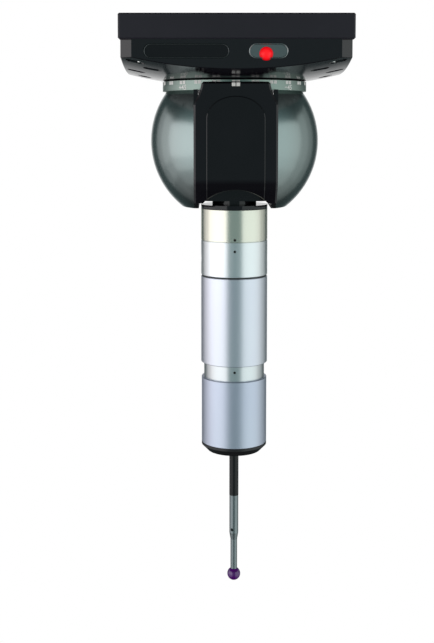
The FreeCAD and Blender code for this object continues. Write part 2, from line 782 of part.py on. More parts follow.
def draw_hook():
    """Rod that the lock cam pulls down on, with its eye round the cam."""
    rod = cyl(hook_rod_radius, key_hole_z + 3.5, arm_low)
    eye = bar(hook_half, -hook_thick, hook_thick, 0, key_hole_z)
    body = rod.fuse(eye).removeSplitter()
    return body.cut(bar(cam_lobe_radius + cam_throw + slide_gap, -hook_thick, hook_thick, 0, key_hole_z))


cam_shaft_radius = 1.6
cam_lobe_radius = 2.1
cam_throw = 0.45


def coupling_balls():
    return Part.makeCompound([Part.makeSphere(coupling_ball_radius, V(x, y, adapter_top))
                              for x, y in around(3, coupling_circle, 90)])


def contact_pins():
    """Sprung contacts that carry the probe's signals across the joint."""
    return Part.makeCompound([cyl(0.5, adapter_top - 0.6, flange_top + 1.0, at)
                              for at in around(10, pin_circle)])


def adapter_ring():
    """Nickel-plated upper half of the coupling on the probe."""
    body = cyl(probe_radius, collar_top, adapter_top)
    body = bevel_rims(body, probe_radius, rim_bevel)
    body = body.cut(cyl(probe_radius - 2.3, collar_top, adapter_top - 2.2))
    body = body.fuse(tube(probe_radius - 2.3, probe_radius - 3.3, collar_top - 2.0, adapter_top - 2.2))
    seats = [Part.makeSphere(coupling_ball_radius, V(x, y, adapter_top))
             for x, y in around(3, coupling_circle, 90)]
    pins = [cyl(0.5, adapter_top - 2.2, adapter_top, at) for at in around(10, pin_circle)]
    body = body.removeSplitter().cut(seats + pins + [cyl(hook_rod_radius + 0.2, adapter_top - 2.2, adapter_top)])
    return body.cut(dimple(collar_top + 0.9))


def dimple(z):
    """Small alignment dot sunk in the front of a ring."""
    return Part.makeCylinder(0.5, 0.7, V(0, -probe_radius, z), Y_AXIS)


# ---------------------------------------------------------------- probe, coupled to the arm
def probe_collar():
    """White collar with the key holes of the lock screw."""
    body = tube(probe_radius, probe_radius - 2.3, collar_low, collar_top)
    body = body.cut(bar(key_hole_radius, -probe_radius, probe_radius, 0, key_hole_z))
    mouth = [Part.makeCylinder(key_hole_radius, 1.6, V(side * (probe_radius - 1.4), 0, key_hole_z - 0.0),
                               V(side, 0, 0)) for side in (-1, 1)]
    body = bevel_rims(body, probe_radius, rim_bevel)
    return body.cut(mouth + [dimple(collar_top - 3.4)])


def lock_cam():
    """Eccentric screw turned with a hexagon key from either side of the collar."""
    reach = probe_radius - 1.5
    shaft = bar(cam_shaft_radius, -reach, reach, 0, key_hole_z)
    lobe = bar(cam_lobe_radius, -hook_thick - 0.4, hook_thick + 0.4, 0, key_hole_z + cam_throw)
    body = shaft.fuse(lobe).removeSplitter()
    for side in (-1, 1):
        end = side * reach
        ring = [V(end, 0.95 * math.cos(math.tau * n / 6), key_hole_z + 0.95 * math.sin(math.tau * n / 6))
                for n in range(7)]
        body = body.cut(Part.Face(Part.makePolygon(ring)).extrude(V(-side * 2.0, 0, 0)))
    return body


def collar_seal():
    return tube(probe_radius - seal_inset, probe_radius - 2.3, collar_low - seal_thick, collar_low)


def probe_body():
    """Long sleeve of the probe, with a spigot up into the collar and a land for the module."""
    top = collar_low - seal_thick
    body = bevel_rims(tube(probe_radius, probe_radius - probe_wall, body_low, top), probe_radius, rim_bevel)
    body = body.fuse([tube(probe_radius - 2.3, probe_radius - 3.3, top - 1.6, top + 2.6),
                      tube(probe_radius - probe_wall, probe_radius - 3.3, top - 1.6, top),
                      tube(probe_radius - probe_wall, magnet_circle - 1.9, body_low, body_low + 2.2)])
    magnets = [cyl(magnet_radius, body_low, body_low + 2.2, at) for at in around(3, magnet_circle, 30)]
    return body.removeSplitter().cut(magnets)


magnet_radius = 1.5
magnet_circle = 9.0


def coupling_magnets():
    """Magnets that hold the scanning module to the probe, three in each half."""
    upper = [cyl(magnet_radius, body_low, body_low + 2.2, at) for at in around(3, magnet_circle, 30)]
    lower = [cyl(magnet_radius, body_low - 2.2, body_low, at) for at in around(3, magnet_circle, 30)]
    return Part.makeCompound(upper + lower)


def sensor_block():
    """Optical block that watches the mirror on the stylus carrier: barrel, window and board."""
    top = collar_low - seal_thick - 1.6
    barrel = tube(probe_radius - probe_wall, 4.0, top - 12.0, top)
    board = tube(8.6, 4.6, top - 13.2, top - 12.0)
    return barrel.fuse(board).removeSplitter()


def sensor_window():
    top = collar_low - seal_thick - 1.6
    return cyl(4.0, top - 12.0, top - 10.4)


def module_neck():
    """Narrow upper ring of the scanning module."""
    body = tube(neck_radius, magnet_circle - 1.9, module_top, body_low)
    magnets = [cyl(magnet_radius, body_low - 2.2, body_low, at) for at in around(3, magnet_circle, 30)]
    dot = Part.makeCylinder(0.5, 0.7, V(0, -neck_radius, body_low - 2.2), Y_AXIS)
    return body.cut(magnets + [dot])


def module_body():
    """Sleeve of the scanning module, with a shelf inside for the spring clamp."""
    wall = module_radius - 1.4
    body = tube(module_radius, wall, module_low, module_top)
    roof = tube(wall, magnet_circle - 1.9, module_top - 1.6, module_top)
    shelf_top = pivot_z - gimbal_thick / 2
    shelf = tube(wall, wall - 1.0, shelf_top - 2.0, shelf_top)
    return bevel_rims(body, module_radius, rim_bevel).fuse([roof, shelf]).removeSplitter()


def spring_clamp():
    """Fixed outer ring of the tilt suspension."""
    half = gimbal_thick / 2
    clamp = tube(module_radius - 1.4, gimbal_outer + gimbal_gap, pivot_z - half, pivot_z + half)
    return clamp.cut(bar(0.3 + running_gap, -module_radius, module_radius, 0, pivot_z))


def module_cap():
    """Black end ring of the module, bevelled in towards the stylus."""
    ring = turned([(cap_mouth_radius, cap_low), (module_radius - cap_bevel, cap_low),
                   (module_radius, cap_low + cap_bevel), (module_radius, module_low),
                   (cap_mouth_radius, module_low)])
    spigot = tube(module_radius - 1.4, module_radius - 2.4, module_low, module_low + 2.0)
    return ring.fuse(spigot).removeSplitter()


def dust_seal():
    """Thin rubber lip in the mouth of the cap."""
    return tube(cap_mouth_radius, hub_disc_radius + 0.8, cap_low + 0.9, cap_low + 1.7)


# ---------------------------------------------------------------- suspension and stylus
def gimbal_ring():
    """Middle ring of the suspension: tilts about X on two torsion necks."""
    half = gimbal_thick / 2
    ring = tube(gimbal_outer, gimbal_outer - gimbal_width, pivot_z - half, pivot_z + half)
    reach = gimbal_outer + gimbal_gap + 1.2
    necks = bar(0.3, -reach, -gimbal_outer + 0.2, 0, pivot_z).fuse(
        bar(0.3, gimbal_outer - 0.2, reach, 0, pivot_z))
    ring = ring.cut(Part.makeCylinder(0.3 + running_gap, 4 * gimbal_outer,
                                      V(0, -2 * gimbal_outer, pivot_z), Y_AXIS))
    return ring.fuse(necks).removeSplitter()


def gimbal_hub():
    """Inner ring of the suspension: tilts about Y, and guides the stylus carrier."""
    guide = tube(hub_radius, plunger_radius + running_gap, pivot_z - 2.6, pivot_z + 2.6)
    reach = gimbal_outer - gimbal_width + 1.2
    necks = [Part.makeCylinder(0.3, reach - hub_radius + 0.2, V(0, side * (hub_radius - 0.2), pivot_z),
                               V(0, side, 0)) for side in (-1, 1)]
    return guide.fuse(necks).removeSplitter()


def stylus_carrier():
    """Rod that slides in the hub and carries the mirror on top and the stylus holder below."""
    top = pivot_z + 5.6
    return cyl(plunger_radius, hub_disc_low + 3.7, top)


def mirror():
    top = pivot_z + 5.6
    return cyl(4.4, top, top + 0.8)


def stylus_holder():
    """Black holder: a disc that closes the cap's mouth and the rod that takes the stylus."""
    high = hub_disc_low + 3.7
    body = turned([(0, holder_low), (holder_radius, holder_low), (holder_radius, hub_disc_low),
                   (hub_disc_radius - 1.0, hub_disc_low), (hub_disc_radius, hub_disc_low + 1.0),
                   (hub_disc_radius, high), (0, high)])
    return body.cut(cyl(stud_radius, holder_low, holder_low + stud_length))


stud_radius = 1.0
stud_length = 4.0


def stylus_stem():
    """Steel stem with its screwed stud, tommy-bar hole and slimmer lower part."""
    body = turned([(0, ball_tip_z), (stem_lower_radius, ball_tip_z), (stem_lower_radius, stem_taper_low),
                   (stem_upper_radius, stem_taper_top), (stem_upper_radius, holder_low),
                   (stud_radius, holder_low), (stud_radius, holder_low + stud_length),
                   (0, holder_low + stud_length)])
    tommy = Part.makeCylinder(tommy_hole_radius, 8.0, V(0, -4.0, tommy_hole_z), Y_AXIS)
    body = body.cut(spun(tommy, -25.0))
    return body.cut(Part.makeSphere(ball_tip_radius, V(0, 0, ball_tip_z)))


def stylus_ball():
    return Part.makeSphere(ball_tip_radius, V(0, 0, ball_tip_z))


# ---------------------------------------------------------------- write every piece
PIECES = [
    mounting_plate, upper_housing, housing_screws, badge_plate, led_bezel, status_led, control_board,
    connector_shell, connector_pins, slip_ring, b_bearing_outer, b_bearing_balls, b_motor, b_pinion,
    turntable, b_bearing_inner, b_gear, spindle_nut, scale_ring, fork_walls,
    cheek_screws, spine_cover, spine_panel, fork_tie, a_bushes, a_motor, a_pinion,
    a_axle, axle_nut, a_gear, arm_frame, arm_cover, arm_cover_screws, arm_board, joint_flange,
    draw_hook, coupling_balls, contact_pins, adapter_ring, probe_collar, lock_cam, collar_seal,
    probe_body, coupling_magnets, sensor_block, sensor_window, module_neck, module_body,
    spring_clamp, module_cap, dust_seal, gimbal_ring, gimbal_hub, stylus_carrier, mirror,
    stylus_holder, stylus_stem, stylus_ball,
]

os.makedirs("parts", exist_ok=True)
for make in PIECES:
    write(make.__name__, make())
write("left_cheek", cheek(-1))
write("right_cheek", cheek(1))
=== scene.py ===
"""Looks of a motorised indexing probe head with a scanning probe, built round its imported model."""
import json
import math

import bmesh
import bpy
from bpy.props import FloatProperty, FloatVectorProperty, IntProperty
from mathutils import Matrix, Vector


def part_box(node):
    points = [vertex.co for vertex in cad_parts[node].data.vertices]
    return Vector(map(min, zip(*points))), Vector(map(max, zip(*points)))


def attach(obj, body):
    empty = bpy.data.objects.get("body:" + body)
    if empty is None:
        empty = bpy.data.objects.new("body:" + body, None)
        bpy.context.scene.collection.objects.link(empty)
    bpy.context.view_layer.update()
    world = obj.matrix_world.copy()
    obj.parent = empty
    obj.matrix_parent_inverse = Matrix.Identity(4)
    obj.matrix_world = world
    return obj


bl_info = {
    "name": "Probe Head Finish",
    "version": (1, 0, 0),
    "blender": (4, 5, 0),
    "location": "View3D > Sidebar > Probe Head",
    "description": "Finishes, dial marks, lamp and studio for a two-axis probe head",
    "category": "Object",
}

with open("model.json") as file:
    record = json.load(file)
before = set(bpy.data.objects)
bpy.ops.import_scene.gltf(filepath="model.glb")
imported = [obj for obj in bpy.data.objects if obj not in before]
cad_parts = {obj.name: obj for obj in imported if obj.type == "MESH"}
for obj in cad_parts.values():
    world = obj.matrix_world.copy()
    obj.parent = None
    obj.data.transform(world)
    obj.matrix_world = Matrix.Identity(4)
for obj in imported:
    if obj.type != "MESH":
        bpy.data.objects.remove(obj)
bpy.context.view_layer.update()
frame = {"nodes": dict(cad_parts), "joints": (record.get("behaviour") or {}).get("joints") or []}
NODES = frame["nodes"]
PLATE_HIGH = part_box("mounting_plate")[1]
RING_LOW, RING_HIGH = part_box("scale_ring")
SPINE_LOW, SPINE_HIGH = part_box("spine_cover")
LAMP_LOW, LAMP_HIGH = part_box("status_led")
AXIS_HEIGHT = [j for j in frame["joints"] if j["name"] == "a_tilt"][0]["pos_m"][2]
MM = 0.001
SUNK = 0.02 * MM                # how deep under the band's surface its painted marks start


# ------------------------------------------------------------------ shader expressions
class Wire:
    """A value on its way through a material: arithmetic on it adds Math nodes."""

    def __init__(self, material, socket):
        self.material = material
        self.socket = socket

    def math(self, operation, *others, clamp=False):
        node = self.material.tree.nodes.new("ShaderNodeMath")
        node.operation = operation
        node.use_clamp = clamp
        for entry, value in zip(node.inputs, (self,) + others):
            self.material.feed(entry, value)
        return Wire(self.material, node.outputs[0])

    def __add__(self, other):
        return self.math("ADD", other)

    def __radd__(self, other):
        return self.math("ADD", other)

    def __sub__(self, other):
        return self.math("SUBTRACT", other)

    def __rsub__(self, other):
        node = self.material.tree.nodes.new("ShaderNodeMath")
        node.operation = "SUBTRACT"
        self.material.feed(node.inputs[0], other)
        self.material.feed(node.inputs[1], self)
        return Wire(self.material, node.outputs[0])

    def __mul__(self, other):
        return self.math("MULTIPLY", other)

    def __rmul__(self, other):
        return self.math("MULTIPLY", other)

    def __truediv__(self, other):
        return self.math("DIVIDE", other)

    def __lt__(self, other):
        return self.math("LESS_THAN", other)

    def clamped(self):
        return self.math("ADD", 0.0, clamp=True)


def rgba(colour):
    """Any colour of three or four numbers as four."""
    return tuple(colour)[:4] + (1.0,) * (4 - len(colour))


class Finish:
    """One material and its nodes."""

    def __init__(self, name, colour, roughness=0.4, metallic=0.0, **fixed):
        self.material = bpy.data.materials.new(name)
        self.material.use_nodes = True
        self.tree = self.material.node_tree
        self.shader = self.tree.nodes["Principled BSDF"]
        self.set("Base Color", colour)
        self.set("Roughness", roughness)
        self.set("Metallic", metallic)
        for socket, value in fixed.items():
            self.set(socket.replace("_", " "), value)
        self.place = self.node("ShaderNodeTexCoord").outputs["Object"]

    def feed(self, entry, value):
        """Link or set one input, whichever the value asks for."""
        if isinstance(value, Wire):
            self.tree.links.new(value.socket, entry)
        elif isinstance(value, bpy.types.NodeSocket):
            self.tree.links.new(value, entry)
        elif value is not None:
            entry.default_value = value

    def node(self, kind, settings=None, **inputs):
        """Any node: its own settings first, then the values or links of its sockets."""
        node = self.tree.nodes.new(kind)
        for key, value in (settings or {}).items():
            if key == "stops":
                ramp = node.color_ramp
                while len(ramp.elements) < len(value):
                    ramp.elements.new(0.5)
                for element, (at, colour) in zip(ramp.elements, value):
                    element.position = at
                    element.color = rgba(colour)
            else:
                setattr(node, key, value)
        for key, value in inputs.items():
            self.feed(node.inputs[key.replace("_", " ")], value)
        return node

    def set(self, socket, value):
        """Give one socket of the shader a value or a link."""
        if "Color" in socket and not isinstance(value, bpy.types.NodeSocket):
            value = rgba(value)
        self.feed(self.shader.inputs[socket], value)

    def axis(self, letter):
        """One coordinate of the surface."""
        parts = self.node("ShaderNodeSeparateXYZ", Vector=self.place)
        return Wire(self, parts.outputs[letter])

    def noise(self, scale, detail=3.0, rough=0.5, stretch=(1, 1, 1)):
        """Soft noise over the surface, drawn out along an axis where its stretch is small."""
        spread = self.node("ShaderNodeMapping", Vector=self.place, Scale=stretch)
        made = self.node("ShaderNodeTexNoise", {"noise_dimensions": "3D"},
                         Vector=spread.outputs[0], Scale=scale, Detail=detail, Roughness=rough)
        return Wire(self, made.outputs[0])

    def mix(self, mask, first, second):
        """First colour where the mask is 0, second where it is 1."""
        made = self.node("ShaderNodeMix", {"data_type": "RGBA"})
        self.feed(made.inputs[0], mask)
        for entry, colour in ((made.inputs[6], first), (made.inputs[7], second)):
            self.feed(entry, colour if isinstance(colour, bpy.types.NodeSocket) else rgba(colour))
        return made.outputs[2]

    def bump(self, height, strength=0.2, distance=0.00002):
        """Fine relief."""
        made = self.node("ShaderNodeBump", Height=height, Strength=strength, Distance=distance)
        self.feed(self.shader.inputs["Normal"], made.outputs[0])


def wear(finish, colour, edge, amount=0.5, dust=60.0):
    """Colour with broad soft variation, used on the black plate and the black enamels."""
    cloud = finish.noise(dust, 4.0, 0.6)
    return finish.mix((cloud * amount).clamped(), colour, edge)


def dress(finish, *names):
    """One finish on every slot of the named pieces."""
    for name in names:
        piece = NODES[name] if name in NODES else bpy.data.objects[name]
        slots = piece.data.materials
        if len(slots):
            for index in range(len(slots)):
                slots[index] = finish.material
        else:
            slots.append(finish.material)


# ------------------------------------------------------------------ finishes
def black_anodised(colour):
    """Matte black plate, faintly blue, with the grain of blasted metal."""
    f = Finish("black anodised plate", colour, 0.5, 0.0, IOR=1.45)
    grain = f.noise(5200, 2.0, 0.6)
    f.set("Base Color", wear(f, colour, [c * 1.9 + 0.002 for c in colour], 0.8, 38))
    f.set("Roughness", 0.4 + grain * 0.16 + f.noise(45, 3.0) * 0.08)
    f.bump(grain, 0.35, 0.00002)
    return f


def black_enamel(colour, name="gloss black enamel", gloss=0.13, peel=0.12, ior=1.45):
    """Sprayed and polished black with a trace of orange peel and handling haze."""
    f = Finish(name, colour, gloss, 0.0, IOR=ior)
    haze = f.noise(55, 4.0, 0.65)
    f.set("Base Color", wear(f, colour, [c * 2.2 + 0.0015 for c in colour], 0.7, 90))
    f.set("Roughness", (gloss - 0.03) + (haze * haze) * 0.14)
    f.bump(f.noise(900, 1.0), peel, 0.00002)
    return f


def polished_shell(colour):
    """Deep black shell of the ball, with the softest reflections on the head."""
    f = Finish("polished black shell", colour, 0.17, 0.0, IOR=3.8, Coat_Weight=0.6,
               Coat_Roughness=0.16, Specular_Tint=(0.84, 1.0, 0.98, 1))
    haze = f.noise(34, 4.0, 0.6)
    f.set("Base Color", f.mix((haze * 0.8).clamped(), colour, (0.009, 0.011, 0.012)))
    f.set("Roughness", 0.16 + haze * 0.1 + f.noise(1500, 2.0) * 0.02)
    f.bump(f.noise(420, 1.0), 0.1, 0.00002)
    return f


def turned_metal(name, colour, roughness, line=5200.0, depth=0.25, tint=None):
    """Metal turned in a lathe: fine rings round the vertical axis, and a faint stain."""
    f = Finish(name, colour, roughness, 1.0)
    rings = f.noise(line, 3.0, 0.65, stretch=(0.012, 0.012, 1.0))
    stain = f.noise(70, 4.0, 0.6, stretch=(1, 1, 0.35))
    other = tint or [c * 0.9 for c in colour]
    f.set("Base Color", f.mix((stain * 1.3 - 0.25).clamped(), colour, other))
    f.set("Roughness", (roughness - 0.05) + rings * 0.07 + stain * 0.05)
    f.bump(rings, depth, 0.00001)
    return f


def blasted_metal(name, colour, roughness, tint):
    """Satin metal blasted with fine beads, even in every direction."""
    f = Finish(name, colour, roughness, 1.0)
    beads = f.noise(6500, 2.0, 0.55)
    stain = f.noise(52, 4.0, 0.6, stretch=(1, 1, 0.3))
    f.set("Base Color", f.mix((stain * 1.4 - 0.25).clamped(), colour, tint))
    f.set("Roughness", (roughness - 0.03) + beads * 0.06 + stain * 0.05)
    f.bump(beads, 0.18, 0.00001)
    return f


def plain_steel(name, colour, roughness):
    """Steel of screws, shafts and races, with light scratches."""
    f = Finish(name, colour, roughness, 1.0)
    scratch = f.noise(2600, 3.0, 0.7, stretch=(1, 0.06, 1))
    f.set("Base Color", f.mix((f.noise(240, 3.0) * 0.8).clamped(), colour,
                              [c * 0.75 for c in colour]))
    f.set("Roughness", roughness + scratch * 0.12)
    f.bump(scratch, 0.12, 0.00001)
    return f


def moulded(name, colour, roughness, grain=3800.0, relief=0.3):
    """Moulded plastic, rubber or cast insulation with an even fine grain."""
    f = Finish(name, colour, roughness, 0.0)
    skin = f.noise(grain, 2.0, 0.6)
    f.set("Base Color", f.mix((f.noise(130, 3.0) * 0.8).clamped(), colour,
                              [c * 1.5 + 0.002 for c in colour]))
    f.set("Roughness", (roughness - 0.06) + skin * 0.14)
    f.bump(skin, relief, 0.00002)
    return f


def circuit_board():
    """Green board with lighter copper runs under the lacquer."""
    f = Finish("circuit board", (0.01, 0.14, 0.05), 0.35, 0.0, Coat_Weight=0.3)
    runs = f.node("ShaderNodeTexBrick", {"offset": 0.37}, Vector=f.place, Scale=420.0,
                  Mortar_Size=0.035, Color1=(0.012, 0.15, 0.05, 1), Color2=(0.01, 0.12, 0.045, 1),
                  Mortar=(0.03, 0.3, 0.1, 1))
    f.set("Base Color", runs.outputs["Color"])
    f.set("Roughness", 0.3 + f.noise(600, 2.0) * 0.15)
    return f


def woven_carbon(colour):
    """Black carbon-fibre rod: a fine twill just seen in its gloss."""
    f = Finish("black carbon rod", colour, 0.3, 0.0, IOR=1.4)
    pitch = 7200.0
    first = ((f.axis("X") + f.axis("Z")) * pitch).math("SINE")
    second = ((f.axis("Y") - f.axis("Z")) * pitch).math("SINE")
    weave = (first * second) * 0.5 + 0.5
    f.set("Base Color", f.mix(weave, colour, [c * 1.7 for c in colour]))
    f.set("Roughness", 0.22 + weave * 0.12)
    f.bump(weave, 0.12, 0.00001)
    return f


def lamp_lens(colour):
    """Red moulded lens, lit from behind, brightest in its middle."""
    f = Finish("red lamp lens", colour, 0.3, 0.0, IOR=1.35, Emission_Strength=0.6)
    middle = (LAMP_LOW + LAMP_HIGH) / 2
    across = f.axis("X") - middle.x
    up = f.axis("Z") - middle.z
    away = (across * across + up * up).math("SQRT") / (0.5 * (LAMP_HIGH.x - LAMP_LOW.x))
    f.set("Base Color", f.mix((away * 1.1).clamped(), colour, (0.45, 0.0, 0.004)))
    f.set("Emission Color", f.mix((away * away).clamped(), (1.0, 0.012, 0.016), (0.75, 0.0, 0.006)))
    f.set("Roughness", 0.25 + f.noise(800, 2.0) * 0.1)
    f.bump((away * 26.0).math("SINE"), 0.12, 0.00004)
    return f


def synthetic_ruby(colour):
    """Polished ruby: dark magenta, deeper in soft patches."""
    f = Finish("synthetic ruby", colour, 0.03, 0.0, IOR=1.76, Transmission_Weight=0.2)
    cloud = f.noise(700, 2.0)
    f.set("Base Color", f.mix((cloud * 1.2 - 0.2).clamped(), colour, [c * 0.55 for c in colour]))
    f.set("Roughness", 0.02 + cloud * 0.03)
    return f


def scale_metal(colour):
    """Silver-grey graduated band: lighter, rougher lower step, fine rings all round."""
    f = Finish("graduated band", colour, 0.34, 1.0)
    rings = f.noise(6000, 3.0, 0.6, stretch=(0.01, 0.01, 1.0))
    step_height = 1.9 * MM
    step = (f.axis("Z") < RING_LOW.z + step_height)
    f.set("Base Color", f.mix(step, colour, [c * 1.12 for c in colour]))
    f.set("Roughness", 0.28 + rings * 0.1 + step * 0.08)
    f.bump(rings, 0.2, 0.00001)
    return f


# ------------------------------------------------------------------ mesh helpers
def adopt(name, mesh, finish, body, smooth=False):
    """A finished mesh becomes a piece that rides on a body."""
    piece = bpy.data.objects.new(name, mesh)
    bpy.context.scene.collection.objects.link(piece)
    if finish is not None:
        mesh.materials.clear()
        mesh.materials.append(finish.material)
    for face in mesh.polygons:
        face.use_smooth = smooth
    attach(piece, body)
    return piece


def mesh_from(name, work):
    """Mesh of what has been built, with every face turned outwards."""
    bmesh.ops.recalc_face_normals(work, faces=work.faces)
    mesh = bpy.data.meshes.new(name)
    work.to_mesh(mesh)
    work.free()
    return mesh


def disc_prism(work, radius, depth, place, sides=32, socket=0.0):
    """Short round bar from place along its own +Z, with a round socket if one is given."""
    def ring(r, count, z):
        return [work.verts.new(place @ Vector((r * math.cos(math.tau * n / count),
                                              r * math.sin(math.tau * n / count), z)))
                for n in range(count)]

    def wall(one, two):
        for n in range(len(one)):
            work.faces.new((one[n], one[(n + 1) % len(one)], two[(n + 1) % len(two)], two[n]))

    foot, rim = ring(radius, sides, 0.0), ring(radius, sides, depth - 0.08 * radius)
    crown = ring(radius * 0.9, sides, depth)
    wall(foot, rim)
    wall(rim, crown)
    work.faces.new(list(reversed(foot)))
    if socket:
        mouth, floor = ring(socket, sides, depth), ring(socket, sides, depth - socket)
        wall(crown, mouth)
        wall(mouth, floor)
        work.faces.new(floor)
    else:
        work.faces.new(crown)


# ------------------------------------------------------------------ node trees for repeated pieces
def ring_of_copies(piece_name, base, places):
    """Geometry Nodes tree that puts one small base mesh at every point of a points mesh.

    Each point carries its turn about Z in the attribute "turn".  The result is realised and given
    its material inside the tree, made a plain mesh, and the modifier is gone before it is used.
    """
    points = bpy.data.meshes.new(piece_name + "_points")
    points.from_pydata([p for p, _ in places], [], [])
    turns = points.attributes.new("turn", "FLOAT", "POINT")
    for index, (_, turn) in enumerate(places):
        turns.data[index].value = turn
    carrier = bpy.data.objects.new(piece_name + "_points", points)
    bpy.context.scene.collection.objects.link(carrier)
    base_object = bpy.data.objects.new(piece_name + "_base", base)
    bpy.context.scene.collection.objects.link(base_object)

    tree = bpy.data.node_groups.new(piece_name, "GeometryNodeTree")
    tree.interface.new_socket("Geometry", in_out="INPUT", socket_type="NodeSocketGeometry")
    tree.interface.new_socket("Base", in_out="INPUT", socket_type="NodeSocketObject")
    size = tree.interface.new_socket("Size", in_out="INPUT", socket_type="NodeSocketFloat")
    size.default_value = 1.0
    tree.interface.new_socket("Material", in_out="INPUT", socket_type="NodeSocketMaterial")
    tree.interface.new_socket("Geometry", in_out="OUTPUT", socket_type="NodeSocketGeometry")
    entry = tree.nodes.new("NodeGroupInput")
    leave = tree.nodes.new("NodeGroupOutput")
    source = tree.nodes.new("GeometryNodeObjectInfo")
    copies = tree.nodes.new("GeometryNodeInstanceOnPoints")
    turn = tree.nodes.new("GeometryNodeInputNamedAttribute")
    turn.data_type = "FLOAT"
    turn.inputs["Name"].default_value = "turn"
    around = tree.nodes.new("ShaderNodeCombineXYZ")
    spin = tree.nodes.new("FunctionNodeEulerToRotation")
    real = tree.nodes.new("GeometryNodeRealizeInstances")
    coat = tree.nodes.new("GeometryNodeSetMaterial")
    join = tree.links.new
    join(entry.outputs["Base"], source.inputs["Object"])
    join(entry.outputs["Geometry"], copies.inputs["Points"])
    join(source.outputs["Geometry"], copies.inputs["Instance"])
    join(turn.outputs["Attribute"], around.inputs["Z"])
    join(around.outputs["Vector"], spin.inputs["Euler"])
    join(spin.outputs["Rotation"], copies.inputs["Rotation"])
    join(entry.outputs["Size"], copies.inputs["Scale"])
    join(copies.outputs["Instances"], real.inputs["Geometry"])
    join(real.outputs["Geometry"], coat.inputs["Geometry"])
    join(entry.outputs["Material"], coat.inputs["Material"])
    join(coat.outputs["Geometry"], leave.inputs["Geometry"])
    return tree, carrier, base_object


def grown(piece_name, base, places, finish, body):
    """Copies of a base mesh at given places and turns, as one plain piece."""
    tree, carrier, base_object = ring_of_copies(piece_name, base, places)
    modifier = carrier.modifiers.new("copies", "NODES")
    modifier.node_group = tree
    sockets = {item.name: item.identifier for item in tree.interface.items_tree
               if item.item_type == "SOCKET" and item.in_out == "INPUT"}
    modifier[sockets["Base"]] = base_object
    modifier[sockets["Size"]] = 1.0
    modifier[sockets["Material"]] = finish.material
    bpy.context.view_layer.update()
    graph = bpy.context.evaluated_depsgraph_get()
    mesh = bpy.data.meshes.new_from_object(carrier.evaluated_get(graph))
    mesh.name = piece_name
    carrier.modifiers.clear()
    for spare in (carrier, base_object):
        bpy.data.objects.remove(spare)
    return adopt(piece_name, mesh, None, body)


# ------------------------------------------------------------------ settings
def shade(name, about, default):
    """Colour among the settings."""
    return FloatVectorProperty(name=name, description=about, default=default, subtype="COLOR",
                               min=0, max=1)


class HeadSettings(bpy.types.PropertyGroup):
    """Colours of the head and sizes of its painted marks"""
    black: shade("Enamel black", "Colour of the housing and the yoke's spine",
                 (0.0030, 0.0024, 0.0040))
    plate_black: shade("Plate black", "Colour of the mounting plate", (0.008, 0.007, 0.0125))
    shell_black: shade("Shell black", "Colour of the ball's two shells", (0.004, 0.0048, 0.005))
    band: shade("Band grey", "Colour of the graduated band", (0.25, 0.31, 0.28))
    marks: shade("Mark white", "Paint of the numerals and marks", (0.82, 0.83, 0.8))
    tick_step: IntProperty(name="Tick step", default=15, min=5, max=45,
                           description="Angle from one mark of the band to the next, degrees")
    numeral_height: FloatProperty(name="Numeral height", description="Height of the band's numerals",
                                  default=1.75 * MM, unit="LENGTH")
    mark_relief: FloatProperty(name="Mark relief", description="How far the painted marks stand proud",
                               default=0.03 * MM, unit="LENGTH")


class ProbeSettings(bpy.types.PropertyGroup):
    """Colours of the probe, its stylus and the lamp"""
    nickel: shade("Nickel", "Colour of the probe's upper ring", (0.80, 0.78, 0.68))
    collar: shade("Collar silver", "Colour of the collar with the key holes", (0.86, 0.88, 0.9))
    sleeve: shade("Sleeve silver", "Colour of the probe's long sleeve", (0.76, 0.79, 0.84))
    module: shade("Module silver", "Colour of the scanning module", (0.62, 0.67, 0.77))
    ruby: shade("Ruby", "Colour of the stylus ball", (0.1, 0.001, 0.2))
    lamp: shade("Lamp red", "Colour of the status lamp", (0.9, 0.006, 0.012))


class StudioSettings(bpy.types.PropertyGroup):
    """Light and camera"""
    left_light: FloatProperty(name="Left light", default=1.3, min=0,
                              description="Brightness of the wall of lamps on the left")
    right_light: FloatProperty(name="Right light", default=0.8, min=0,
                               description="Brightness of the wall of lamps on the right")
    sky: FloatProperty(name="Room light", default=0.42, min=0,
                       description="Brightness of the room on everything matt")
    dim_room: shade("Dim side of the room", "What gloss shows except from behind",
                    (0.2, 0.29, 0.295))
    lens: FloatProperty(name="Lens", default=60.32, min=10,
                        description="Focal length on a 36 mm sensor")
    distance: FloatProperty(name="Distance", description="Camera to the head's vertical axis",
                            default=404.9 * MM, unit="LENGTH")


def marks_paint():
    """White paint of the numerals and marks, a little worn."""
    white = bpy.context.scene.head.marks
    paint = Finish("white mark paint", white, 0.5)
    worn = (paint.noise(900, 3.0) * 0.7).clamped()
    paint.set("Base Color", paint.mix(worn, white, (0.6, 0.62, 0.6)))
    paint.set("Roughness", 0.42 + paint.noise(2500, 2.0) * 0.15)
    return paint


# ------------------------------------------------------------------ fixed top
class HEAD_OT_fixed_top(bpy.types.Operator):
    """Finish the plate, the housing and what is fixed in them"""
    bl_idname = "head.fixed_top"
    bl_label = "Fixed Top"

    def execute(self, context):
        head = context.scene.head
        dress(black_anodised(head.plate_black), "mounting_plate")
        dress(black_enamel(head.black, ior=1.52), "upper_housing")
        dress(black_enamel([c * 0.7 for c in head.black], "bare badge black", 0.1, 0.04), "badge_plate")
        dress(moulded("socket insulator", (0.015, 0.015, 0.016), 0.5), "connector_shell", "slip_ring")
        dress(plain_steel("gold contact", (0.85, 0.6, 0.22), 0.22), "connector_pins", "contact_pins")
        dress(plain_steel("cap screw steel", (0.42, 0.42, 0.43), 0.3), "housing_screws")
        return {"FINISHED"}


